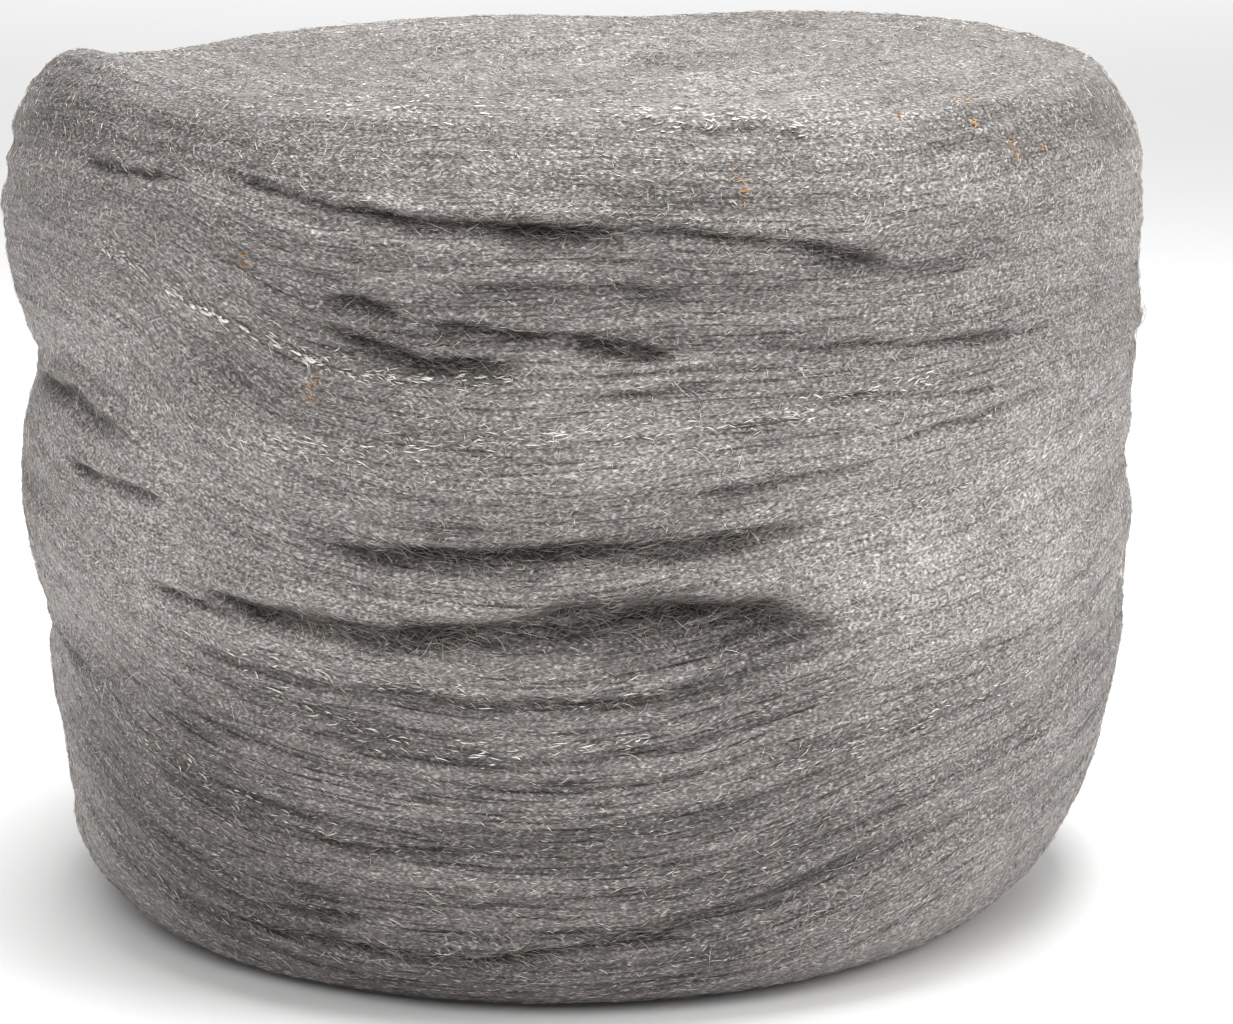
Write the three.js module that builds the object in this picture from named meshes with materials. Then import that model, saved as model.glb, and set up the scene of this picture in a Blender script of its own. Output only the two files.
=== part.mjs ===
// A reel of steel wool: one long ribbon of fine steel shavings, wound over itself into a stout drum.
// The drum stands on its end, +Z up, with its origin at the middle of the face that it stands on.
// All sizes are in millimetres. Angles run anticlockwise from +X, seen from above.

import * as THREE from 'three';
import { mergeVertices } from 'three/addons/utils/BufferGeometryUtils.js';

// The plain drum, before the windings shape it.
const REEL_RADIUS = 138;
const REEL_HEIGHT = 206;
const FOOT_RADIUS = 106; // the flat face that the drum's own weight presses on to the bench
const LOWER_ROUND = 52; // height over which the lowest windings curve in to the foot
const UPPER_ROUND = 24; // how far the rounded upper edge reaches down the side
const UPPER_INSET = 24; // and how far it reaches in over the upper end

// How finely the skin is divided.
const STEPS_AROUND = 84;
const FOOT_STEPS = 3;
const LOWER_STEPS = 7;
const SIDE_STEPS = 20;
const UPPER_STEPS = 5;
const CROWN_STEPS = 6;

// The ribbon was wound on a slant, so the grooves between its turns climb towards one side.
// Each groove is deepest at the angle it names, and its banks rise away from it over its reach.
const GROOVES = [
  { height: 145, climb: 17, deepAngle: Math.PI, least: 1.5, most: 7, reach: 11 },
  { height: 109, climb: 2, deepAngle: -0.15 * Math.PI, least: 0, most: 5.5, reach: 9 },
  { height: 72, climb: 0, deepAngle: Math.PI, least: 1.2, most: 3, reach: 10 },
  { height: 28, climb: -4, deepAngle: -0.8 * Math.PI, least: 1, most: 2, reach: 8 },
];
const CLIMB_ANGLE = -0.25 * Math.PI;

// The drum leans in towards its foot, more on one side than on the other.
const TAPER = 5;
const TAPER_POWER = 1.5;
const TAPER_BIAS = 4;
const TAPER_ANGLE = Math.PI;

// The lowest turns settled into a slight oval, a little to one side of the rest.
const SAG = 2;
const SAG_ANGLE = Math.PI;
const OVAL = 5; // by how much the foot is narrower across the oval's short way
const OVAL_ANGLE = -0.08 * Math.PI;
const SETTLED_TOP = 100; // height where both have died out

// The last turn of the ribbon folds over the upper edge and leaves a soft lump there.
const LUMP_ANGLE = 1.04 * Math.PI;
const LUMP_SPREAD = 0.42;
const LUMP_HEIGHT = 172;
const LUMP_REACH = 24;
const LUMP_OUT = 1.5;
const LUMP_UP = 3;

// The upper end is a shallow dish in the middle, and its rim is higher on one side.
const CROWN_START = 145; // height where the side begins to follow the rim
const DISH_DEPTH = 5;
const DISH_RADIUS = 62;
const RIM_TILT = 4.5;
const RIM_TILT_ANGLE = 0.2 * Math.PI;

// Slow waves round the side keep the wound drum from being perfectly round. Each has its number
// of lobes, and its twist in radians for each millimetre of height.
const WAVES = [
  { size: 1.2, lobes: 3, twist: 0.021, start: 0 },
  { size: 0.7, lobes: 5, twist: -0.034, start: 1.3 },
];

function angleBetween(one, other) {
  return Math.atan2(Math.sin(one - other), Math.cos(one - other));
}

function bell(distance, reach) {
  return Math.exp(-((distance / reach) ** 2));
}

// The drum's half section, from the middle of the foot round to the middle of the upper end.
function drumSection() {
  const lowerCurve = new THREE.EllipseCurve(
    FOOT_RADIUS,
    LOWER_ROUND,
    REEL_RADIUS - FOOT_RADIUS,
    LOWER_ROUND,
    -0.5 * Math.PI,
    0,
  );
  const upperCurve = new THREE.EllipseCurve(
    REEL_RADIUS - UPPER_INSET,
    REEL_HEIGHT - UPPER_ROUND,
    UPPER_INSET,
    UPPER_ROUND,
    0,
    0.5 * Math.PI,
  );
  const footMiddle = new THREE.Vector2(0, 0);
  const crownMiddle = new THREE.Vector2(0, REEL_HEIGHT);
  const stretches = [
    [new THREE.LineCurve(footMiddle, lowerCurve.getPoint(0)), FOOT_STEPS],
    [lowerCurve, LOWER_STEPS],
    [new THREE.LineCurve(lowerCurve.getPoint(1), upperCurve.getPoint(0)), SIDE_STEPS],
    [upperCurve, UPPER_STEPS],
    [new THREE.LineCurve(upperCurve.getPoint(1), crownMiddle), CROWN_STEPS],
  ];
  const section = [footMiddle];
  for (const [curve, steps] of stretches) {
    section.push(...curve.getPoints(steps).slice(1));
  }
  return section;
}

// How far the skin stands out from the plain drum, at one angle and height on its side.
function windingOffset(angle, height) {
  let offset = 0;
  for (const wave of WAVES) {
    offset += wave.size * Math.sin(wave.lobes * angle + wave.twist * height + wave.start);
  }
  for (const groove of GROOVES) {
    const middle = groove.height + groove.climb * Math.cos(angle - CLIMB_ANGLE);
    const share = 0.5 + 0.5 * Math.cos(angle - groove.deepAngle);
    const depth = groove.least + (groove.most - groove.least) * share;
    offset -= depth * Math.exp(-Math.abs(height - middle) / groove.reach);
  }
  const below = 1 - height / REEL_HEIGHT;
  offset -= below ** TAPER_POWER * (TAPER + TAPER_BIAS * Math.cos(angle - TAPER_ANGLE));
  const lumpTurn = bell(angleBetween(angle, LUMP_ANGLE), LUMP_SPREAD);
  offset += LUMP_OUT * lumpTurn * bell(height - LUMP_HEIGHT, LUMP_REACH);
  return offset;
}

// How far the skin of the upper end is raised or sunk.
function crownOffset(angle, radius) {
  const outward = radius / REEL_RADIUS;
  const lumpTurn = bell(angleBetween(angle, LUMP_ANGLE), LUMP_SPREAD);
  let offset = -DISH_DEPTH * bell(radius, DISH_RADIUS);
  offset += RIM_TILT * outward * Math.cos(angle - RIM_TILT_ANGLE);
  offset += LUMP_UP * lumpTurn * bell(radius - REEL_RADIUS + UPPER_INSET, LUMP_REACH);
  return offset;
}

function reelGeometry() {
  const turned = new THREE.LatheGeometry(drumSection(), STEPS_AROUND);
  turned.rotateX(0.5 * Math.PI);
  turned.deleteAttribute('normal');
  turned.deleteAttribute('uv');
  const geometry = mergeVertices(turned, 1e-3);
  const skin = geometry.getAttribute('position');
  for (let i = 0; i < skin.count; i += 1) {
    const radius = Math.hypot(skin.getX(i), skin.getY(i));
    const height = skin.getZ(i);
    const angle = Math.atan2(skin.getY(i), skin.getX(i));
    const offFoot = THREE.MathUtils.smoothstep(height, 0, LOWER_ROUND);
    const nearCrown = THREE.MathUtils.smoothstep(height, CROWN_START, REEL_HEIGHT);
    const settled = 1 - THREE.MathUtils.smoothstep(height, 0, SETTLED_TOP);
    const oval = OVAL * settled * Math.cos(angle - OVAL_ANGLE) ** 2;
    const outward = radius / REEL_RADIUS;
    const moved = radius + outward * (windingOffset(angle, height) * offFoot - oval);
    skin.setX(i, moved * Math.cos(angle) + SAG * settled * Math.cos(SAG_ANGLE));
    skin.setY(i, moved * Math.sin(angle) + SAG * settled * Math.sin(SAG_ANGLE));
    skin.setZ(i, height + crownOffset(angle, radius) * nearCrown);
  }
  geometry.computeBoundingBox();
  const middle = geometry.boundingBox.getCenter(new THREE.Vector3());
  geometry.translate(-middle.x, -middle.y, 0);
  geometry.computeVertexNormals();
  return geometry;
}

const steelWool = new THREE.MeshStandardMaterial({ color: 0x767371, roughness: 0.75, metalness: 0.6 });
const reel = new THREE.Mesh(reelGeometry(), steelWool);
reel.name = 'steel_wool_reel';

const part = new THREE.Group();
part.add(reel);

export default part;
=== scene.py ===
import math

import bpy
import numpy as np
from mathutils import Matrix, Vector
from mathutils.bvhtree import BVHTree


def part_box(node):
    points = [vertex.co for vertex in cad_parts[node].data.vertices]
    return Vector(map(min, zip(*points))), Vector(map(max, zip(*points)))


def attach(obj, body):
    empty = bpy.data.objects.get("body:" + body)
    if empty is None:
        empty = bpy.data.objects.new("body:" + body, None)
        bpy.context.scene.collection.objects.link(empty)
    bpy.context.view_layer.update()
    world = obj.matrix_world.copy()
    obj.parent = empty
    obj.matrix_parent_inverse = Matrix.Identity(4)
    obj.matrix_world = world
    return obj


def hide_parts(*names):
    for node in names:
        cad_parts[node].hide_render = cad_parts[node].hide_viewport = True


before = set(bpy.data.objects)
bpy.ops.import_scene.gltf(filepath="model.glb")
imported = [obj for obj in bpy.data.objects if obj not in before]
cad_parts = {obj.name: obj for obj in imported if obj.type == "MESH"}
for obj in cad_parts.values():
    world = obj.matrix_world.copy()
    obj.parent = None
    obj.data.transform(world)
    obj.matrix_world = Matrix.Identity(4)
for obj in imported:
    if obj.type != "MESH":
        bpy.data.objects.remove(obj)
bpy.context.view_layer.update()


# --- Camera -------------------------------------------------------------------------------------
# The reel is seen from a little above, from just under a metre away, standing left of the middle.
LOOK_DOWN = 11.425
LOOK_RIGHT = 0.675
camera_data = bpy.data.cameras.new("camera")
camera_data.sensor_width = 36.0
camera_data.lens = 110.7
camera = bpy.data.objects.new("camera", camera_data)
bpy.context.scene.collection.objects.link(camera)
camera.location = (0.0, -0.9306, 0.2796)
camera.rotation_euler = (math.radians(90.0 - LOOK_DOWN), 0.0, math.radians(-LOOK_RIGHT))
bpy.context.scene.camera = camera


# --- Bench top and light ------------------------------------------------------------------------
# A plain pale bench runs back out of sight. Soft light comes from a panel overhead, from weaker
# ones at the front and the right, and from pale surroundings. A wide panel lights the bench far
# behind the reel.
bpy.ops.mesh.primitive_plane_add(size=14.0, location=(0.0, 3.0, 0.0))
bench = bpy.context.active_object
bench.name = "bench_top"
bench_material = bpy.data.materials.new("pale_bench")
bench_material.use_nodes = True
bench_shader = bench_material.node_tree.nodes["Principled BSDF"]
bench_shader.inputs["Base Color"].default_value = (0.76, 0.76, 0.76, 1.0)
bench_shader.inputs["Roughness"].default_value = 0.7
bench.data.materials.append(bench_material)


def add_panel(name, place, target, width, height, power):
    """A soft rectangular light at one place, turned to face another."""
    panel_data = bpy.data.lights.new(name, "AREA")
    panel_data.shape = "RECTANGLE"
    panel_data.size = width
    panel_data.size_y = height
    panel_data.energy = power
    panel = bpy.data.objects.new(name, panel_data)
    panel.location = place
    panel.rotation_euler = (Vector(target) - Vector(place)).to_track_quat("-Z", "Y").to_euler()
    bpy.context.scene.collection.objects.link(panel)


reel_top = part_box("steel_wool_reel")[1][2]
reel_middle = (0.0, 0.0, 0.5 * reel_top)
add_panel("overhead_panel", (0.1, 0.0, 1.25), reel_middle, 0.9, 0.7, 22.0)
add_panel("front_panel", (-0.2, -1.35, 1.1), reel_middle, 0.9, 0.7, 13.5)
add_panel("side_panel", (1.25, -0.55, 0.75), reel_middle, 0.7, 0.7, 10.0)
add_panel("backdrop_panel", (0.0, 4.2, 2.6), (0.0, 3.4, 0.0), 4.0, 2.0, 75.0)

world = bpy.data.worlds.new("pale_room")
world.use_nodes = True
world.node_tree.nodes["Background"].inputs["Color"].default_value = (1.0, 1.0, 1.0, 1.0)
world.node_tree.nodes["Background"].inputs["Strength"].default_value = 0.5
bpy.context.scene.world = world
bpy.context.scene.view_settings.view_transform = "Standard"


# --- Wound body ---------------------------------------------------------------------------------
# The body is one ribbon of matted steel shavings, wound over itself by machine into a stout drum.
# Its turns lie on a slant and overlap, so creases, pockets and soft lips show all round its side.
COLUMNS = 320
FOOT_ROWS = 8
SIDE_ROWS = 242
CROWN_ROWS = 54
ROWS = FOOT_ROWS + SIDE_ROWS + CROWN_ROWS
FOOT_SHARE = 0.215
CROWN_SHARE = 0.766
MM = 0.001

bpy.ops.object.select_all(action="DESELECT")
guide = bpy.data.objects.new("guide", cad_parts["steel_wool_reel"].data.copy())
bpy.context.scene.collection.objects.link(guide)
guide.select_set(True)
bpy.context.view_layer.objects.active = guide
bpy.ops.object.mode_set(mode="EDIT")
bpy.ops.mesh.select_all(action="SELECT")
bpy.ops.mesh.remove_doubles(threshold=1e-5)
bpy.ops.mesh.tris_convert_to_quads()
bpy.ops.object.mode_set(mode="OBJECT")
rounding = guide.modifiers.new("rounding", "SUBSURF")
rounding.levels = 2
rounding.render_levels = 2
bpy.ops.object.modifier_apply(modifier="rounding")

# Rays cast out from the middle of the drum find its skin, column by column.
RAYS = 360
bpy.context.view_layer.update()
skin_tree = BVHTree.FromObject(guide, bpy.context.evaluated_depsgraph_get())
hub = Vector(reel_middle)
turns = np.arange(COLUMNS) / COLUMNS
angles = 2.0 * math.pi * turns
tips = np.linspace(-0.5 * math.pi, 0.5 * math.pi, RAYS)
row_shares = np.concatenate([
    np.linspace(0.0, FOOT_SHARE, FOOT_ROWS, endpoint=False),
    np.linspace(FOOT_SHARE, CROWN_SHARE, SIDE_ROWS, endpoint=False),
    np.linspace(CROWN_SHARE, 1.0, CROWN_ROWS),
])
skin = np.zeros((ROWS, COLUMNS, 3))
along = np.zeros((ROWS, COLUMNS))
for column, angle in enumerate(angles):
    outline = np.zeros((RAYS, 3))
    for ray, tip in enumerate(tips):
        flat = math.cos(tip)
        way = Vector((flat * math.cos(angle), flat * math.sin(angle), math.sin(tip)))
        outline[ray] = skin_tree.ray_cast(hub, way)[0]
    steps = np.linalg.norm(np.diff(outline, axis=0), axis=1)
    reached = np.concatenate([[0.0], np.cumsum(steps)])
    wanted = row_shares * reached[-1]
    for axis in range(3):
        skin[:, column, axis] = np.interp(wanted, reached, outline[:, axis])
    along[:, column] = wanted
bpy.data.objects.remove(guide)


def wool_noise(turn, across, cells, pitch, seed):
    """Smooth noise from -1 to 1, with a number of cells round the drum and a pitch across it."""
    table = np.random.default_rng(seed).uniform(-1.0, 1.0, (cells, 1024))
    x = turn * cells
    y = across / pitch + 300.0
    x_cell = np.floor(x).astype(int)
    y_cell = np.floor(y).astype(int)
    x_part = x - x_cell
    y_part = y - y_cell
    x_part = x_part * x_part * (3.0 - 2.0 * x_part)
    y_part = y_part * y_part * (3.0 - 2.0 * y_part)
    near = table[x_cell % cells, y_cell % 1024]
    far = table[(x_cell + 1) % cells, y_cell % 1024]
    near_up = table[x_cell % cells, (y_cell + 1) % 1024]
    far_up = table[(x_cell + 1) % cells, (y_cell + 1) % 1024]
    lower = near + (far - near) * x_part
    upper = near_up + (far_up - near_up) * x_part
    return lower + (upper - lower) * y_part


def ease(value, low, high):
    """Rises smoothly from 0 at low to 1 at high."""
    part = np.clip((value - low) / (high - low), 0.0, 1.0)
    return part * part * (3.0 - 2.0 * part)


turn_grid = np.broadcast_to(turns, (ROWS, COLUMNS))
angle_grid = 2.0 * math.pi * turn_grid
degree_grid = 360.0 * turn_grid
height_grid = skin[:, :, 2].copy()
radius_grid = np.hypot(skin[:, :, 0], skin[:, :, 1])
on_side = ease(height_grid, 0.002, 0.012)
on_side = on_side * (1.0 - ease(height_grid, reel_top - 0.012, reel_top - 0.004))
on_crown = ease(height_grid, reel_top - 0.03, reel_top - 0.012)

# The fibres follow the ribbon. Lay is the height that a fibre keeps as it runs round the drum. The
# ribbon sags at the front and back, climbs at both sides, and turns up steeply at one shoulder.
FRONT = math.radians(268.0)
BOW = 17.0 * MM
to_right = 0.5 + 0.5 * np.sin(angle_grid - FRONT)
left_fade = 1.0 - ease(height_grid, 0.165, 0.207)
right_fade = 1.0 - ease(height_grid, 0.115, 0.165)
bow = BOW * (1.0 - np.cos(2.0 * (angle_grid - FRONT)))
bow = bow * (left_fade * (1.0 - to_right) + right_fade * to_right)
upturn = 18.0 * MM * ease(degree_grid, 172.0, 212.0) * (1.0 - ease(degree_grid, 220.0, 246.0))
upturn = upturn * ease(height_grid, 0.10, 0.165) * (1.0 - ease(height_grid, 0.165, 0.207))
sway = 2.4 * MM * np.sin(3.0 * angle_grid + 14.0 * along)
sway += 1.3 * MM * np.sin(7.0 * angle_grid + 31.0 * along)
lay = along - bow - upturn + sway

# Where the ribbon turns up or sags steeply, its strands crowd together and the fine folds are
# shallower.
crowding = np.clip(np.gradient(lay, axis=0) / np.gradient(along, axis=0), 1.0, 4.0)

# Relief is how far the skin stands out. The pit shade grid marks the pits in it, whose shade is
# painted dark into the colour, and fringe marks the lips over them.
relief = np.zeros((ROWS, COLUMNS))
pit_shade = np.zeros((ROWS, COLUMNS))
fringe = np.zeros((ROWS, COLUMNS))
relief += 1.0 * MM * wool_noise(turn_grid, lay, 9, 24.0 * MM, 1)
relief += 0.8 * MM * wool_noise(turn_grid, lay, 14, 10.0 * MM, 2)
relief += 0.45 * MM * wool_noise(turn_grid, lay, 22, 5.0 * MM, 3) / crowding
relief += 0.35 * MM * wool_noise(turn_grid, lay, 34, 2.8 * MM, 4) / crowding

# One shoulder has been pushed up square. The side under it is pinched in, and lower down it
# stands a little proud.
shoulder = np.exp(-((degree_grid - 203.0) / 20.0) ** 2)
shoulder = shoulder * np.exp(-((height_grid - 0.199) / 0.011) ** 2)
relief += 7.0 * MM * shoulder * np.exp(-((radius_grid - 0.120) / 0.013) ** 2)
bulge = np.exp(-((degree_grid - 190.0) / 22.0) ** 2)
relief += 2.0 * MM * bulge * np.exp(-((height_grid - 0.105) / 0.020) ** 2)
relief -= 2.0 * MM * bulge * np.exp(-((height_grid - 0.185) / 0.008) ** 2)

# Gaps open between the strands where the ribbon has been drawn out thin. Elsewhere it is felted.
MOST_OPEN = 266.0
across_front = np.exp(-((degree_grid - MOST_OPEN) / 34.0) ** 2)
drawn = ease(wool_noise(turn_grid, along, 6, 55.0 * MM, 30) + 0.9 * across_front, -0.5, 0.8)
drawn = drawn * (1.0 - 0.7 * ease(height_grid, 0.178, 0.195))
drawn = drawn * (1.0 - 0.35 * ease(height_grid, 0.108, 0.124))
drawn = drawn * (1.0 - 0.3 * np.exp(-((height_grid - 0.130) / 0.014) ** 2))
drawn = drawn * (1.0 - 0.6 * np.exp(-((degree_grid - 325.0) / 26.0) ** 2))
left_shoulder = np.exp(-((degree_grid - 218.0) / 20.0) ** 2) * ease(height_grid, 0.12, 0.15)
drawn = drawn * (1.0 - 0.7 * left_shoulder)
for cells, pitch, depth, seed in ((9, 3.2, 0.9, 31), (14, 2.2, 0.7, 32), (22, 1.6, 0.5, 33)):
    gap = np.maximum(0.0, wool_noise(turn_grid, lay, cells, pitch * MM, seed) - 0.42) / 0.58
    gap = gap * (0.15 + 0.85 * drawn) / crowding
    relief -= MM * depth * gap * on_side
    # Painted shade: the gaps are marked to be darkened in the colour.
    np.maximum(pit_shade, 0.6 * gap * (0.3 + 0.7 * on_side), out=pit_shade)


def sink(off, fade, depth, seed):
    """Sinks a streaky crease at off 0, sharp under its lip and fading downwards."""
    streak = wool_noise(turn_grid, lay, 56, 1.6 * MM, seed)
    below = np.exp(-np.abs(off / 1.15) ** 2.0) * (off < 0.0)
    above = np.exp(-(off / 0.35) ** 2) * (off >= 0.0)
    pit = fade * (below + above) * on_side
    lip = fade * np.exp(-((off - 1.1) / 0.75) ** 2) * on_side
    relief[:] += MM * depth * (0.4 * lip - pit * (0.85 + 0.3 * streak))
    # Painted shade: the crease's pit is marked to be darkened in the colour.
    dark = pit * min(1.0, 0.35 + depth / 5.0) * (0.9 + 0.4 * streak)
    np.maximum(pit_shade, np.clip(dark, 0.0, 1.0), out=pit_shade)
    np.maximum(fringe, lip * min(1.0, depth / 3.0), out=fringe)


def crease(places, depth, reach_down):
    """A crease through a few (degrees, millimetres) places on the side that shows most."""
    degrees = [place[0] for place in places]
    heights = [place[1] for place in places]
    middle = np.interp(degree_grid, degrees, heights) * MM
    ragged = 0.9 * MM * wool_noise(turn_grid, along, 80, 12.0 * MM, int(heights[0]))
    soft = 0.22 * (degrees[-1] - degrees[0]) + 1.0
    fade = ease(degree_grid, degrees[0] - 1.0, degrees[0] + soft)
    fade = fade * (1.0 - ease(degree_grid, degrees[-1] - soft, degrees[-1] + 1.0))
    off = (height_grid - middle - ragged) / (reach_down * (0.45 + 0.55 * fade) * MM)
    sink(off, fade, depth, int(heights[0] + degrees[0]))


# The edge of the top turn, and the crease in the rim over it.
crease(((236.0, 190.0), (248.0, 184.2), (256.0, 181.0)), 1.7, 1.1)
crease(((246.0, 184.6), (254.0, 181.4), (265.0, 180.4), (274.0, 179.4)), 3.2, 1.7)
crease(((262.0, 180.2), (267.0, 179.8), (276.0, 178.8)), 3.2, 3.2)
crease(((270.0, 180.2), (282.0, 179.4), (291.0, 176.2), (303.0, 168.5)), 1.9, 1.5)
crease(((290.0, 175.0), (295.0, 173.0), (300.0, 170.0)), 2.4, 3.0)
crease(((271.0, 202.0), (297.0, 198.5)), 1.1, 1.2)
# The hollows where the turns under it have pulled apart.
crease(((246.5, 164.6), (250.0, 164.2), (254.5, 160.8)), 3.6, 2.4)
crease(((243.5, 159.0), (249.7, 155.0), (256.3, 150.8), (266.0, 150.0)), 3.4, 2.8)
crease(((255.5, 159.4), (264.0, 157.8), (269.5, 156.4)), 2.6, 1.7)
crease(((268.5, 156.4), (273.0, 155.0), (280.0, 153.4)), 3.8, 2.2)
crease(((256.0, 168.5), (284.0, 166.5)), 1.5, 2.0)
crease(((283.0, 154.8), (302.0, 152.8), (324.0, 151.0)), 1.6, 1.2)
crease(((270.0, 144.6), (285.0, 146.8)), 1.0, 1.2)
crease(((291.0, 141.8), (317.0, 140.0)), 1.2, 1.2)
crease(((278.0, 121.4), (301.0, 127.8)), 1.4, 1.4)
crease(((300.0, 131.0), (322.0, 139.0)), 0.9, 1.2)
# The long gap across the middle, and the pocket under the soft lip below it.
crease(((241.0, 109.4), (254.0, 108.4), (270.0, 110.0), (286.0, 111.0), (298.0, 115.0)), 3.2, 2.8)
crease(((261.0, 93.2), (269.0, 95.6), (278.0, 96.9), (288.0, 94.6), (297.0, 89.0)), 8.0, 7.0)
crease(((229.0, 97.0), (240.0, 93.0), (251.0, 91.8), (262.0, 92.4), (273.0, 93.0)), 4.0, 3.4)
crease(((246.0, 80.0), (262.0, 76.0), (284.0, 78.0)), 1.8, 2.0)
# Small creases low on the side, and those that reach the left edge.
crease(((241.0, 44.0), (249.0, 42.6), (262.0, 41.6)), 2.8, 2.0)
crease(((233.0, 26.4), (250.0, 23.0)), 2.8, 2.0)
crease(((226.0, 21.6), (236.0, 17.8), (257.0, 15.2)), 2.8, 2.0)
crease(((252.0, 14.2), (265.0, 17.6), (286.0, 26.0)), 3.0, 2.2)
crease(((194.0, 133.0), (211.0, 134.5), (223.0, 127.0)), 2.8, 2.6)
crease(((209.0, 119.5), (228.0, 115.0)), 2.6, 2.0)
crease(((190.0, 73.0), (200.0, 72.0), (212.0, 66.0)), 2.0, 2.2)
crease(((216.0, 189.5), (232.0, 187.0)), 1.4, 1.6)
crease(((225.0, 95.5), (236.0, 91.0)), 2.2, 2.0)

# Smaller creases are scattered all round the drum and follow the lay. They are deeper away from
# the front, and a few long ones open there too.
SMALL_CREASES = 150
LONG_CREASES = 9
facing = 1.0 - ease(np.abs(degree_grid - MOST_OPEN), 50.0, 75.0)
crease_random = np.random.default_rng(20)
for number in range(SMALL_CREASES):
    start = crease_random.uniform(0.0, 360.0)
    reach = crease_random.uniform(9.0, 34.0)
    level = crease_random.uniform(0.09, 0.335)
    depth = crease_random.uniform(0.4, 1.1)
    reach_down = crease_random.uniform(0.9, 1.9)
    share = ((degree_grid - start) % 360.0) / reach
    fade = ease(share, 0.0, 0.4) * (1.0 - ease(share, 0.6, 1.0))
    fade = fade * (1.0 - 0.3 * facing) * (0.4 + 0.6 * drawn)
    depth = depth * (2.2 - 1.2 * float(facing[0, int(start / 360.0 * COLUMNS) % COLUMNS]))
    off = (lay - level) / (reach_down * (0.5 + 0.5 * fade) * MM)
    sink(off, fade, depth, 200 + number)
for number in range(LONG_CREASES):
    start = crease_random.uniform(-25.0, 165.0)
    reach = crease_random.uniform(18.0, 46.0)
    level = crease_random.uniform(0.12, 0.31)
    share = ((degree_grid - start) % 360.0) / reach
    fade = ease(share, 0.0, 0.3) * (1.0 - ease(share, 0.7, 1.0))
    off = (lay - level) / (crease_random.uniform(2.4, 4.2) * (0.5 + 0.5 * fade) * MM)
    sink(off, fade, crease_random.uniform(2.1, 3.8), 400 + number)

# The upper end shows the edges of the turns, as a slow spiral of shallow rings.
RING_PITCH = 0.0105
ring_wander = 1.2 * wool_noise(turn_grid, along, 7, 30.0 * MM, 8)
ring = np.sin((radius_grid / RING_PITCH + turn_grid) * 2.0 * math.pi + ring_wander)
inner_crown = on_crown * ease(radius_grid, 0.008, 0.03) * (1.0 - ease(radius_grid, 0.090, 0.118))
relief += 0.6 * MM * ring * inner_crown
crown_swell = wool_noise(turn_grid, radius_grid, 7, 30.0 * MM, 9)
relief += 2.0 * MM * crown_swell * inner_crown

# The relief is laid on along the skin's own normals. It dies out at the flat foot and at the
# crown's middle.
across_way = np.gradient(skin, axis=0)
round_way = np.roll(skin, -1, axis=1) - np.roll(skin, 1, axis=1)
outward = np.cross(round_way, across_way)
lengths = np.linalg.norm(outward, axis=2, keepdims=True)
outward = outward / np.maximum(lengths, 1e-12)
outward[0] = (0.0, 0.0, -1.0)
outward[-1] = (0.0, 0.0, 1.0)
off_foot = ease(height_grid, 0.001, 0.010)
near_middle = ease(radius_grid, 0.003, 0.02) + (radius_grid > 0.1)
relief = relief * off_foot * np.minimum(1.0, near_middle)
skin = skin + outward * relief[:, :, None]

ring_rows = np.arange(1, ROWS - 2)
column_index = np.arange(COLUMNS)
next_index = (column_index + 1) % COLUMNS
corner = 1 + (ring_rows[:, None] - 1) * COLUMNS + column_index[None, :]
following = 1 + (ring_rows[:, None] - 1) * COLUMNS + next_index[None, :]
quads = np.stack([corner, following, following + COLUMNS, corner + COLUMNS], axis=2).reshape(-1, 4)
crown_middle = 1 + (ROWS - 2) * COLUMNS
crown_ring = crown_middle - COLUMNS
foot_fan = np.stack([np.zeros(COLUMNS, int), 1 + next_index, 1 + column_index], axis=1)
crown_fan = [np.full(COLUMNS, crown_middle), crown_ring + column_index, crown_ring + next_index]
crown_fan = np.stack(crown_fan, axis=1)
places = np.concatenate([skin[0, :1], skin[1:-1].reshape(-1, 3), skin[-1, :1]])
body_mesh = bpy.data.meshes.new("wound_body")
body_mesh.from_pydata(places.tolist(), [], quads.tolist() + foot_fan.tolist() + crown_fan.tolist())
body = bpy.data.objects.new("wound_body", body_mesh)
bpy.context.scene.collection.objects.link(body)
body_mesh.polygons.foreach_set("use_smooth", [True] * len(body_mesh.polygons))


def as_vertices(grid):
    """The values of a grid of rows and columns, in the order of the body's vertices."""
    return np.concatenate([grid[0, :1], grid[1:-1].reshape((-1,) + grid.shape[2:]), grid[-1, :1]])


# Single fibres wander up and down across the lay, and cross each other.
wave = 1.5 * MM * np.clip(radius_grid / 0.07, 0.0, 1.0)
rising_lay = lay + wave * np.sin(31.0 * angle_grid + 60.0 * along + 2.0 * np.sin(3.0 * angle_grid))
falling_lay = lay + wave * np.sin(26.0 * angle_grid - 75.0 * along + 2.5 * np.sin(4.0 * angle_grid))
for name, values in (("lay", lay), ("rising_lay", rising_lay), ("falling_lay", falling_lay)):
    vectors = np.stack([skin[:, :, 0], skin[:, :, 1], values], axis=2)
    attribute = body_mesh.attributes.new(name, "FLOAT_VECTOR", "POINT")
    attribute.data.foreach_set("vector", as_vertices(vectors).astype(np.float32).ravel())
# The pit shade attribute carries painted shade into the body's colour.
for name, values in (("pit_shade", pit_shade), ("drawn", drawn), ("crown", on_crown)):
    attribute = body_mesh.attributes.new(name, "FLOAT", "POINT")
    attribute.data.foreach_set("value", as_vertices(values).astype(np.float32))
body_mesh.update()

# The finish is dull matted steel: dark dashes and streaks along the lay, under webs of fine
# crossing fibres. It is paler where the wool is felted; painted shade darkens the hollows and crown.
body_material = bpy.data.materials.new("matted_steel_wool")
body_material.use_nodes = True
tree = body_material.node_tree
shader = tree.nodes["Principled BSDF"]
shader.inputs["Metallic"].default_value = 0.45
shader.inputs["Specular IOR Level"].default_value = 0.4
shader.inputs["Roughness"].default_value = 0.5


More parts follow.
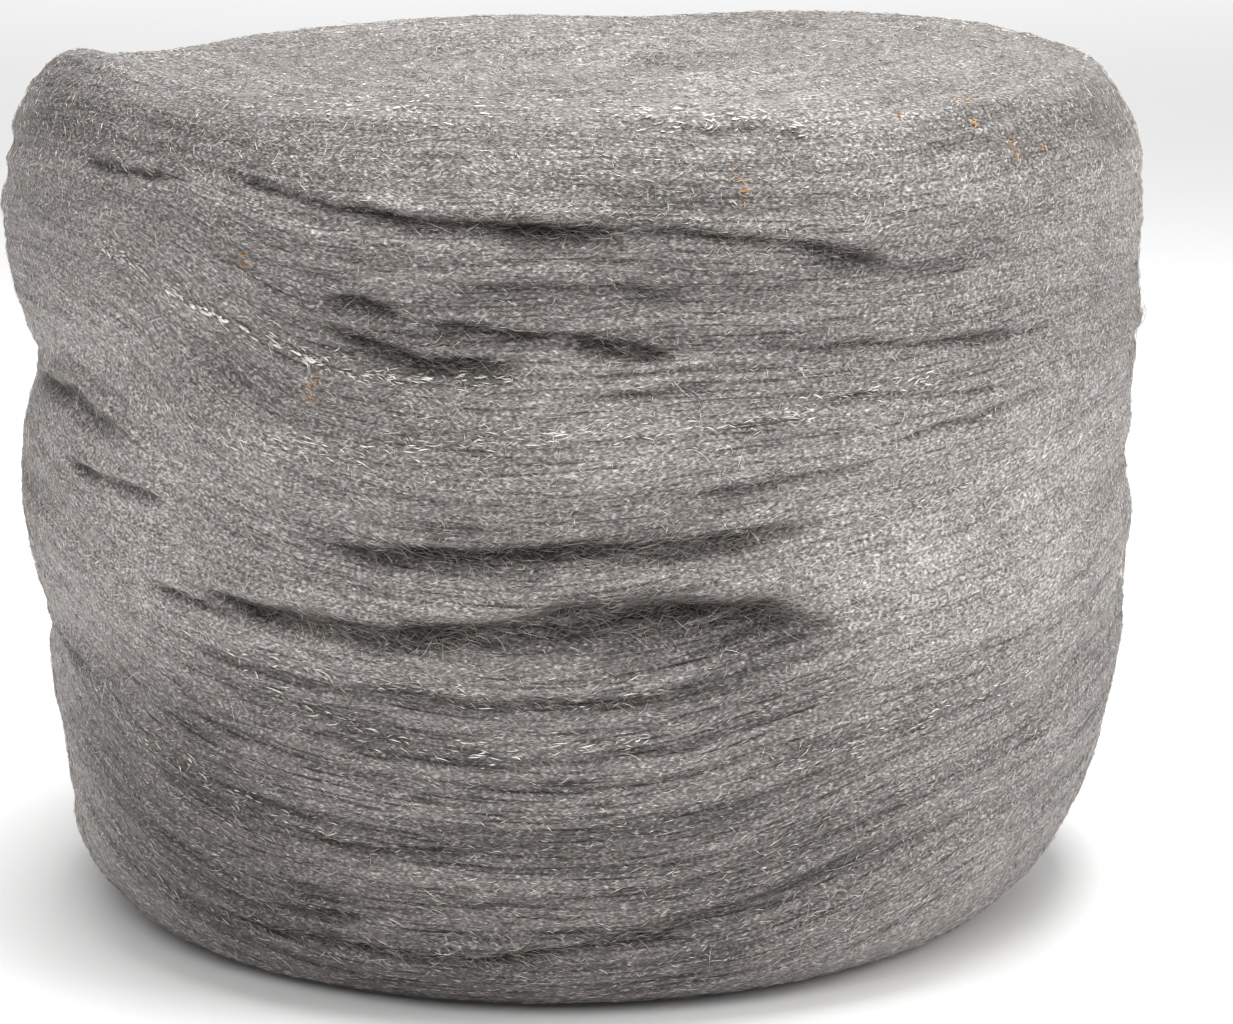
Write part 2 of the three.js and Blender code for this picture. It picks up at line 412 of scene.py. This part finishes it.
def add_noise(tree, source, stretch, detail):
    """A noise texture read through a vector that is stretched along the fibres."""
    mapping = tree.nodes.new("ShaderNodeMapping")
    mapping.inputs["Scale"].default_value = stretch
    mapping.inputs["Rotation"].default_value = (0.6, 0.5, 0.4)
    noise = tree.nodes.new("ShaderNodeTexNoise")
    noise.inputs["Scale"].default_value = 1.0
    noise.inputs["Detail"].default_value = detail
    noise.inputs["Roughness"].default_value = 0.65
    tree.links.new(source, mapping.inputs["Vector"])
    tree.links.new(mapping.outputs["Vector"], noise.inputs["Vector"])
    return noise.outputs["Fac"]


def add_math(tree, operation, *values):
    """A maths node on sockets or plain numbers."""
    node = tree.nodes.new("ShaderNodeMath")
    node.operation = operation
    for socket, value in zip(node.inputs, values):
        if isinstance(value, float):
            socket.default_value = value
        else:
            tree.links.new(value, socket)
    return node.outputs[0]


def add_web(tree, source, stretch, thinness):
    """Thin winding lines, as of single fibres."""
    field = add_noise(tree, source, stretch, 0.0)
    line = add_math(tree, "ABSOLUTE", add_math(tree, "SUBTRACT", field, 0.5))
    line = add_math(tree, "MULTIPLY_ADD", line, -thinness, 1.0)
    return add_math(tree, "MAXIMUM", line, 0.0)


def add_attribute(tree, name):
    """A node that reads one of the body's own attributes."""
    node = tree.nodes.new("ShaderNodeAttribute")
    node.attribute_name = name
    return node


lay_source = add_attribute(tree, "lay").outputs["Vector"]
rising_source = add_attribute(tree, "rising_lay").outputs["Vector"]
falling_source = add_attribute(tree, "falling_lay").outputs["Vector"]
pit_shade_source = add_attribute(tree, "pit_shade").outputs["Fac"]
drawn_source = add_attribute(tree, "drawn").outputs["Fac"]
crown_source = add_attribute(tree, "crown").outputs["Fac"]
object_source = tree.nodes.new("ShaderNodeTexCoord").outputs["Object"]
dashes = add_noise(tree, lay_source, (60.0, 60.0, 1500.0), 1.0)
streaks = add_noise(tree, lay_source, (24.0, 24.0, 520.0), 1.0)
clouds = add_noise(tree, object_source, (14.0, 14.0, 22.0), 1.0)
rising_specks = add_noise(tree, rising_source, (800.0, 800.0, 3300.0), 1.0)
falling_specks = add_noise(tree, falling_source, (720.0, 720.0, 3000.0), 1.0)
cross_specks = add_noise(tree, object_source, (1200.0, 1200.0, 1600.0), 0.0)
rising_web = add_web(tree, rising_source, (330.0, 330.0, 1700.0), 12.0)
falling_web = add_web(tree, falling_source, (370.0, 370.0, 1800.0), 12.0)
web_patches = add_math(tree, "MULTIPLY_ADD", cross_specks, 3.6, -1.3)
web_patches = add_math(tree, "MAXIMUM", web_patches, 0.0)
web = add_math(tree, "MULTIPLY", add_math(tree, "ADD", rising_web, falling_web), web_patches)
dark_dashes = add_math(tree, "MINIMUM", add_math(tree, "SUBTRACT", dashes, 0.48), 0.0)
dash_depth = add_math(tree, "MULTIPLY_ADD", drawn_source, 0.75, 0.55)
felted = add_math(tree, "SUBTRACT", 1.0, drawn_source)
cross_depth = add_math(tree, "MULTIPLY_ADD", felted, 0.18, 0.22)
cross_part = add_math(tree, "MULTIPLY", add_math(tree, "SUBTRACT", cross_specks, 0.5), cross_depth)
mixed = add_math(tree, "MULTIPLY_ADD", dark_dashes, dash_depth, 0.303)
mixed = add_math(tree, "ADD", cross_part, mixed)
mixed = add_math(tree, "MULTIPLY_ADD", felted, 0.13, mixed)
# Painted shade: the crown is darkened in the colour.
mixed = add_math(tree, "MULTIPLY_ADD", crown_source, -0.14, mixed)
mixed = add_math(tree, "MULTIPLY_ADD", streaks, 0.15, mixed)
mixed = add_math(tree, "MULTIPLY_ADD", clouds, 0.22, mixed)
speck_depth = add_math(tree, "MULTIPLY_ADD", crown_source, -0.18, 0.38)
specks = add_math(tree, "ADD", rising_specks, falling_specks)
speck_part = add_math(tree, "MULTIPLY", add_math(tree, "SUBTRACT", specks, 1.0), speck_depth)
mixed = add_math(tree, "ADD", speck_part, mixed)
mixed = add_math(tree, "MULTIPLY_ADD", web, 0.11, mixed)
# Painted shade: the hollows are darkened in the colour.
mixed = add_math(tree, "MULTIPLY_ADD", pit_shade_source, -0.33, mixed)
tones = tree.nodes.new("ShaderNodeValToRGB")
tones.color_ramp.elements[0].position = 0.12
tones.color_ramp.elements[0].color = (0.016, 0.0145, 0.0130, 1.0)
tones.color_ramp.elements[1].position = 0.95
tones.color_ramp.elements[1].color = (0.74, 0.70, 0.68, 1.0)
for position, level in ((0.34, 0.07), (0.50, 0.16), (0.66, 0.32), (0.80, 0.52)):
    element = tones.color_ramp.elements.new(position)
    element.color = (level, level * (0.912 + 0.035 * level), level * (0.85 + 0.11 * level), 1.0)
tree.links.new(mixed, tones.inputs["Fac"])
tree.links.new(tones.outputs["Color"], shader.inputs["Base Color"])
height = add_math(tree, "MULTIPLY_ADD", falling_specks, 0.8, rising_specks)
bump = tree.nodes.new("ShaderNodeBump")
bump.inputs["Strength"].default_value = 0.8
bump.inputs["Distance"].default_value = 0.0005
tree.links.new(height, bump.inputs["Height"])
tree.links.new(bump.outputs["Normal"], shader.inputs["Normal"])
body_mesh.materials.append(body_material)
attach(body, "root")
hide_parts("steel_wool_reel")


# --- Shavings -----------------------------------------------------------------------------------
# The ribbon is made of fine steel shavings, shaved from wire. Each is a thin three-sided sliver
# with a point at each end. They lie along the ribbon, cross each other and curl up off the skin.
def join_round(grid):
    """A grid of the skin with its first column repeated at its end."""
    return np.concatenate([grid, grid[:, :1]], axis=1)


ring_length = 2.0 * math.pi * np.maximum(np.hypot(skin[:, :, 0], skin[:, :, 1]), 2.0 * MM)
row_length = np.gradient(along, axis=0)
lay_round = 0.5 * (np.roll(lay, -1, axis=1) - np.roll(lay, 1, axis=1)) * COLUMNS / ring_length
lay_up = np.maximum(np.gradient(lay, axis=0) / row_length, 0.2)
wide_skin = join_round(skin)
wide_outward = join_round(outward)
wide_pit_shade = join_round(pit_shade)
wide_drawn = join_round(drawn)
wide_crown_shade = join_round(on_crown)
wide_climb = join_round(np.arctan(-lay_round / lay_up))
wide_ring = join_round(ring_length)
wide_row = join_round(row_length)
wide_clouds = join_round(wool_noise(turn_grid, lay, 16, 7.0 * MM, 51))


def look_up(grid, turn, row):
    """Reads a grid of the skin at places between its rows and columns."""
    x = (turn % 1.0) * COLUMNS
    y = np.clip(row, 0.0, ROWS - 1.001)
    x_cell = np.minimum(x.astype(int), COLUMNS - 1)
    y_cell = y.astype(int)
    x_part = x - x_cell
    y_part = y - y_cell
    if grid.ndim == 3:
        x_part = x_part[..., None]
        y_part = y_part[..., None]
    lower = grid[y_cell, x_cell] * (1.0 - x_part) + grid[y_cell, x_cell + 1] * x_part
    upper = grid[y_cell + 1, x_cell] * (1.0 - x_part) + grid[y_cell + 1, x_cell + 1] * x_part
    return lower * (1.0 - y_part) + upper * y_part


CURL = 0.22


def lay_centres(rng, turn, row, length, spread, bends, rise, lift):
    """Walks each shaving over the skin, and returns its points and the skin's normals."""
    count = len(turn)
    step = length / bends
    felting = 1.0 - look_up(wide_drawn, turn, row)
    heading = rng.normal(0.0, 1.0, count) * spread * (0.85 + 0.9 * felting)
    turning = rng.normal(0.0, CURL, count)
    centres = np.zeros((bends + 1, count, 3))
    normals = np.zeros((bends + 1, count, 3))
    arch = rng.uniform(0.0, 1.0, count)
    for bend in range(bends + 1):
        normal = look_up(wide_outward, turn, row)
        stand = rise + lift * np.abs(bend / bends - arch) ** 2
        centres[bend] = look_up(wide_skin, turn, row) + normal * stand[:, None]
        normals[bend] = normal
        way = heading + look_up(wide_climb, turn, row)
        turn = turn + step * np.cos(way) / look_up(wide_ring, turn, row)
        row = row + step * np.sin(way) / look_up(wide_row, turn, row)
        heading = heading + turning
    return centres, normals


# Each sliver has a small patch of the map to itself, placed by its tone and its warmth. None
# comes nearer to the bench than the gap.
MAP_PATCH = 0.005
BENCH_GAP = 0.12 * MM
TAPER = 0.35


def wrap_slivers(rng, centres, normals, thickness, tone, tint):
    """Wraps a thin tapering sliver round each walked line: its corners, faces and map places."""
    bends = len(centres) - 1
    count = centres.shape[1]
    forward = np.gradient(centres, axis=0)
    forward /= np.maximum(np.linalg.norm(forward, axis=2, keepdims=True), 1e-12)
    sideways = np.cross(forward, normals)
    sideways /= np.maximum(np.linalg.norm(sideways, axis=2, keepdims=True), 1e-12)
    upward = np.cross(sideways, forward)
    size = 2 + 3 * (bends - 1)
    corners = np.zeros((count, size, 3))
    spots = np.zeros((count, size, 2))
    corners[:, 0] = centres[0]
    corners[:, -1] = centres[-1]
    spots[:, 0] = (0.0, 0.5)
    spots[:, -1] = (1.0, 0.5)
    roll = rng.uniform(0.0, 2.0 * math.pi, count)
    for bend in range(1, bends):
        width = thickness * math.sin(math.pi * bend / bends) ** TAPER
        for side in range(3):
            turned = roll + 2.0 * math.pi * side / 3.0
            out = upward[bend] * np.cos(turned)[:, None] - sideways[bend] * np.sin(turned)[:, None]
            corners[:, 1 + 3 * (bend - 1) + side] = centres[bend] + out * width[:, None]
            spots[:, 1 + 3 * (bend - 1) + side] = (bend / bends, 0.5 * side)
    faces = []
    for side in range(3):
        after = (side + 1) % 3
        faces.append((0, 1 + side, 1 + after))
        for bend in range(bends - 2):
            near = 1 + 3 * bend
            faces.append((near + side, near + 3 + after, near + after))
            faces.append((near + side, near + 3 + side, near + 3 + after))
        faces.append((size - 4 + side, size - 1, size - 4 + after))
    starts = np.arange(count)[:, None, None] * size
    faces = (np.array(faces)[None] + starts).reshape(-1, 3)
    lowest = corners[:, :, 2].min(axis=1)
    corners[:, :, 2] += np.maximum(0.0, BENCH_GAP - lowest)[:, None]
    patch = spots * MAP_PATCH
    patch[:, :, 0] += tone[:, None]
    patch[:, :, 1] += tint[:, None]
    return corners.reshape(-1, 3), faces, patch.reshape(-1, 2)


def shavings_piece(name, batches, material):
    """Joins batches of slivers into one piece that rides with the reel."""
    offset = 0
    all_corners = []
    all_faces = []
    all_patches = []
    for corners, faces, patches in batches:
        all_corners.append(corners)
        all_faces.append(faces + offset)
        all_patches.append(patches)
        offset += len(corners)
    corners = np.concatenate(all_corners)
    faces = np.concatenate(all_faces)
    patches = np.concatenate(all_patches)
    mesh = bpy.data.meshes.new(name)
    mesh.vertices.add(len(corners))
    mesh.vertices.foreach_set("co", corners.astype(np.float32).ravel())
    mesh.loops.add(faces.size)
    mesh.loops.foreach_set("vertex_index", faces.astype(np.int32).ravel())
    mesh.polygons.add(len(faces))
    mesh.polygons.foreach_set("loop_start", np.arange(0, faces.size, 3, dtype=np.int32))
    mesh.update(calc_edges=True)
    chart = mesh.uv_layers.new(name="OFBake")
    chart.data.foreach_set("uv", patches[faces.ravel()].astype(np.float32).ravel())
    mesh.materials.append(material)
    piece = bpy.data.objects.new(name, mesh)
    bpy.context.scene.collection.objects.link(piece)
    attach(piece, "root")


def shaving_finish(name, dark, middle, pale, metallic, roughness):
    """A steel finish whose tone runs along the map's X, and whose warmth runs along its Y."""
    material = bpy.data.materials.new(name)
    material.use_nodes = True
    tree = material.node_tree
    shader = tree.nodes["Principled BSDF"]
    shader.inputs["Metallic"].default_value = metallic
    shader.inputs["Roughness"].default_value = roughness
    chart_node = tree.nodes.new("ShaderNodeUVMap")
    chart_node.uv_map = "OFBake"
    split = tree.nodes.new("ShaderNodeSeparateXYZ")
    tree.links.new(chart_node.outputs["UV"], split.inputs["Vector"])
    tones = tree.nodes.new("ShaderNodeValToRGB")
    tones.color_ramp.elements[0].position = 0.0
    tones.color_ramp.elements[0].color = dark
    tones.color_ramp.elements[1].position = 1.0
    tones.color_ramp.elements[1].color = pale
    tones.color_ramp.elements.new(0.6).color = middle
    tree.links.new(split.outputs["X"], tones.inputs["Fac"])
    warmth = tree.nodes.new("ShaderNodeValToRGB")
    warmth.color_ramp.elements[0].color = (0.91, 0.95, 1.0, 1.0)
    warmth.color_ramp.elements[1].color = (1.0, 0.91, 0.80, 1.0)
    tree.links.new(split.outputs["Y"], warmth.inputs["Fac"])
    blend = tree.nodes.new("ShaderNodeMix")
    blend.data_type = "RGBA"
    blend.blend_type = "MULTIPLY"
    blend.inputs["Factor"].default_value = 1.0
    tree.links.new(tones.outputs["Color"], blend.inputs["A"])
    tree.links.new(warmth.outputs["Color"], blend.inputs["B"])
    tree.links.new(blend.outputs["Result"], shader.inputs["Base Color"])
    return material


# The pale end of these tones is used for painted glints.
shaving_material = shaving_finish(
    "steel_shavings",
    (0.02, 0.0185, 0.0175, 1.0),
    (0.285, 0.264, 0.252, 1.0),
    (0.95, 0.94, 0.92, 1.0),
    0.6,
    0.42,
)


def scatter(rng, count, first_row, last_row, hollow_share):
    """Even random places over a band of rows of the skin, thinned out inside the hollows."""
    tries = count * 6
    turn = rng.uniform(0.0, 1.0, tries)
    row = rng.uniform(first_row, last_row, tries)
    spread_area = look_up(wide_ring, turn, row) * look_up(wide_row, turn, row)
    pit_shade_here = look_up(wide_pit_shade, turn, row)
    chance = spread_area / spread_area.max() * (1.0 - hollow_share * pit_shade_here)
    kept = rng.uniform(0.0, 1.0, tries) < chance
    return turn[kept][:count], row[kept][:count]


def lay_batch(rng, count, first_row, last_row, lengths, spread, bends, widths, lift):
    """One batch of like slivers over a band of rows."""
    turn, row = scatter(rng, count, first_row, last_row, 0.5)
    count = len(turn)
    length = rng.uniform(lengths[0], lengths[1], count) * MM
    rise = rng.uniform(-0.06, 0.3, count) * MM
    high = rng.uniform(0.0, 1.0, count) ** 3 * lift * MM
    centres, normals = lay_centres(rng, turn, row, length, spread, bends, rise, high)
    thickness = rng.uniform(widths[0], widths[1], count) * MM
    pit_shade_here = look_up(wide_pit_shade, turn, row)
    patchy = look_up(wide_clouds, turn, row)
    thin = look_up(wide_drawn, turn, row)
    # Painted shade: slivers in the hollows are coloured darker.
    tone = rng.normal(0.73, 0.13, count) + 0.05 * patchy - 0.40 * pit_shade_here - 0.08 * thin
    tone = np.clip(tone, 0.06, 0.88)
    # Painted shade: slivers on the crown are coloured darker.
    flat = look_up(wide_crown_shade, turn, row)
    tone = tone - (0.05 + 0.2 * (tone - 0.66)) * flat
    # Painted glints: a share of the slivers is coloured near white, fewer in the hollows and on the crown.
    share = 0.2 * (1.0 - 0.8 * pit_shade_here) * (1.0 + 0.5 * patchy) * (1.0 - 0.45 * flat)
    glinting = rng.uniform(0.0, 1.0, count) < share
    tone = np.where(glinting, rng.uniform(0.86, 0.985, count), tone)
    tint = np.clip(rng.normal(0.55, 0.2, count), 0.02, 0.97)
    return wrap_slivers(rng, centres, normals, thickness, tone, tint)


bands_of_rows = {
    "shavings_lower": (12.0, 82.0),
    "shavings_middle": (82.0, 152.0),
    "shavings_upper": (152.0, 222.0),
    "shavings_crown": (222.0, ROWS - 3.0),
}
for number, (name, (first_row, last_row)) in enumerate(bands_of_rows.items()):
    rng = np.random.default_rng(100 + number)
    batches = [
        lay_batch(rng, 21000, first_row, last_row, (1.0, 3.2), 0.48, 2, (0.07, 0.12), 0.3),
        lay_batch(rng, 2500, first_row, last_row, (2.5, 6.0), 0.42, 3, (0.05, 0.08), 0.8),
        lay_batch(rng, 280, first_row, last_row, (5.0, 11.0), 0.6, 5, (0.04, 0.06), 1.8),
    ]
    shavings_piece(name, batches, shaving_material)


# --- Bridging shavings --------------------------------------------------------------------------
# Loose steel shavings have been pulled out of the ribbon where the turns have parted. They fringe
# the lips of the creases and lie loosely over the dark gaps.
def bridging_batch(rng, field, least, count, lengths, drop):
    """Fine loose slivers over the places where a grid of the skin is at least some value."""
    turn = rng.uniform(0.0, 1.0, 40 * count)
    row = rng.uniform(FOOT_ROWS + 6.0, FOOT_ROWS + SIDE_ROWS - 8.0, 40 * count)
    kept = look_up(field, turn, row) > least
    turn = turn[kept][:count]
    row = row[kept][:count]
    count = len(turn)
    row = row - rng.uniform(0.0, drop, count)
    length = rng.uniform(lengths[0], lengths[1], count) * MM
    rise = rng.uniform(0.1, 1.2, count) * MM
    lift = rng.uniform(0.0, 1.2, count) * MM
    centres, normals = lay_centres(rng, turn, row, length, 0.42, 3, rise, lift)
    tone = np.clip(rng.normal(0.64, 0.15, count), 0.15, 0.95)
    tint = np.clip(rng.normal(0.6, 0.18, count), 0.02, 0.97)
    thickness = rng.uniform(0.035, 0.06, count) * MM
    return wrap_slivers(rng, centres, normals, thickness, tone, tint)


rng = np.random.default_rng(210)
bridges = [
    bridging_batch(rng, join_round(fringe), 0.3, 5200, (1.5, 4.5), 3.0),
    bridging_batch(rng, wide_pit_shade, 0.6, 4600, (2.0, 6.5), 0.0),
    bridging_batch(rng, join_round(pit_shade * across_front), 0.5, 2000, (3.0, 8.0), 0.0),
]
shavings_piece("bridging_shavings", bridges, shaving_material)


# --- Selvage shavings ---------------------------------------------------------------------------
# The edges of the ribbon hold coarser shavings, coloured near white as painted glints. Where the
# edge of a turn comes to the skin, they show as a broken row of painted glints.
selvage_material = shaving_finish(
    "selvage_painted_glints",
    (0.2, 0.19, 0.18, 1.0),
    (0.7, 0.68, 0.66, 1.0),
    (0.98, 0.97, 0.95, 1.0),
    0.2,
    0.35,
)


def row_at(turn, height):
    """The row of the skin that stands at a height on the drum's side."""
    column = int((turn % 1.0) * COLUMNS) % COLUMNS
    side_rows = np.arange(FOOT_ROWS, FOOT_ROWS + SIDE_ROWS - 2)
    return float(np.interp(height, height_grid[side_rows, column], side_rows))


def strew(rng, places, count, scatter_mm):
    """Random places close to a line through a few (degrees, millimetres) places."""
    degrees = [place[0] for place in places]
    heights = [place[1] for place in places]
    picked = rng.uniform(degrees[0], degrees[-1], count)
    clumps = np.sin(picked * 2.1) + np.sin(picked * 0.83 + 1.0)
    picked = picked + 0.5 * clumps
    level = np.interp(picked, degrees, heights) + rng.normal(0.0, scatter_mm, count)
    turn = picked / 360.0 % 1.0
    row = np.array([row_at(one_turn, one_level * MM) for one_turn, one_level in zip(turn, level)])
    return turn, row


def selvage_row(rng, places, count, scatter_mm, lengths, widths):
    """One broken row of coarse shavings, coloured bright as painted glints."""
    turn, row = strew(rng, places, count, scatter_mm)
    length = rng.uniform(0.0, 1.0, count) ** 2 * (lengths[1] - lengths[0]) * MM + lengths[0] * MM
    rise = rng.uniform(0.1, 0.5, count) * MM
    lift = rng.uniform(0.0, 1.0, count) ** 2 * 0.6 * MM
    centres, normals = lay_centres(rng, turn, row, length, 0.16, 3, rise, lift)
    tone = np.clip(rng.normal(0.75, 0.25, count), 0.1, 0.98)
    tint = np.clip(rng.normal(0.55, 0.15, count), 0.02, 0.97)
    thickness = rng.uniform(widths[0], widths[1], count) * MM
    return wrap_slivers(rng, centres, normals, thickness, tone, tint)


rng = np.random.default_rng(230)
steep_edge = ((219.0, 172.0), (231.0, 161.7), (239.5, 154.6), (248.6, 147.0))
middle_edge = ((222.0, 141.0), (236.0, 131.5), (250.0, 131.3), (263.0, 134.7), (286.0, 137.5))
lower_edge = ((207.0, 102.5), (231.5, 84.3), (249.0, 68.0), (263.0, 65.5), (277.0, 68.0))
selvages = [
    selvage_row(rng, steep_edge, 80, 1.2, (1.0, 4.0), (0.1, 0.2)),
    selvage_row(rng, ((230.0, 162.3), (237.0, 156.6)), 16, 0.35, (1.5, 4.0), (0.22, 0.4)),
    selvage_row(rng, ((239.0, 154.8), (245.5, 149.0)), 16, 0.35, (1.5, 4.0), (0.22, 0.38)),
    selvage_row(rng, ((248.0, 147.0), (264.0, 147.3)), 60, 0.8, (1.5, 3.5), (0.1, 0.17)),
    selvage_row(rng, middle_edge, 140, 1.3, (2.0, 5.0), (0.09, 0.16)),
    selvage_row(rng, ((286.0, 137.5), (304.0, 144.0)), 60, 1.5, (1.5, 4.0), (0.1, 0.17)),
    selvage_row(rng, ((234.0, 201.5), (272.0, 203.6), (296.0, 199.7)), 120, 1.0, (1.0, 4.0), (0.12, 0.24)),
    selvage_row(rng, lower_edge, 130, 1.6, (1.5, 4.5), (0.09, 0.16)),
    selvage_row(rng, ((236.0, 84.0), (262.0, 78.0), (280.0, 79.0)), 45, 2.0, (1.5, 4.0), (0.09, 0.16)),
    selvage_row(rng, ((208.0, 70.0), (232.0, 52.0), (262.0, 34.0)), 80, 2.0, (1.5, 4.0), (0.08, 0.14)),
    selvage_row(rng, ((300.0, 112.0), (322.0, 122.0), (346.0, 128.0)), 90, 1.6, (1.5, 4.0), (0.09, 0.15)),
    selvage_row(rng, ((288.0, 60.0), (315.0, 70.0), (345.0, 86.0)), 90, 1.6, (1.5, 4.0), (0.09, 0.15)),
]
# More such rows run round the right and the back.
BACK_ROWS = 9
for _ in range(BACK_ROWS):
    start = rng.uniform(-20.0, 150.0)
    level = rng.uniform(35.0, 180.0)
    reach = rng.uniform(26.0, 60.0)
    middle = level + rng.uniform(-4.0, 7.0)
    selvages.append(selvage_row(rng, (
        (start, level),
        (start + 0.5 * reach, middle),
        (start + reach, level + rng.uniform(-5.0, 5.0)),
    ), 110, 1.4, (1.5, 4.5), (0.09, 0.17)))
shavings_piece("selvage_shavings", selvages, selvage_material)


# --- Rusted shavings ----------------------------------------------------------------------------
# A few of the steel shavings have rusted in small spots. Each spot is a tuft of orange-brown
# slivers that lie on the skin among the others.
rust_material = shaving_finish(
    "rusted_shavings",
    (0.22, 0.09, 0.035, 1.0),
    (0.62, 0.32, 0.12, 1.0),
    (0.82, 0.52, 0.24, 1.0),
    0.0,
    0.75,
)
rng = np.random.default_rng(250)
TUFT_SLIVERS = 6
rust_spots = (
    (313.2, 203.6), (315.5, 192.2), (303.2, 202.4), (320.3, 192.4), (311.5, 199.0), (284.5, 190.8),
    (285.2, 187.5), (245.2, 144.7), (244.6, 141.8), (238.4, 170.4), (96.0, 150.0), (40.0, 196.0),
)
tufts = []
for degrees, height in rust_spots:
    turn = (degrees + rng.normal(0.0, 0.3, TUFT_SLIVERS)) / 360.0 % 1.0
    level = (height + rng.normal(0.0, 0.9, TUFT_SLIVERS)) * MM
    row = np.array([row_at(one_turn, one_level) for one_turn, one_level in zip(turn, level)])
    length = rng.uniform(0.8, 2.8, TUFT_SLIVERS) * MM
    rise = rng.uniform(0.1, 0.35, TUFT_SLIVERS) * MM
    centres, normals = lay_centres(rng, turn, row, length, 0.9, 3, rise, rise)
    tone = np.clip(rng.normal(0.6, 0.2, TUFT_SLIVERS), 0.1, 0.98)
    tint = rng.uniform(0.3, 0.9, TUFT_SLIVERS)
    thickness = rng.uniform(0.08, 0.15, TUFT_SLIVERS) * MM
    tufts.append(wrap_slivers(rng, centres, normals, thickness, tone, tint))
shavings_piece("rusted_shavings", tufts, rust_material)
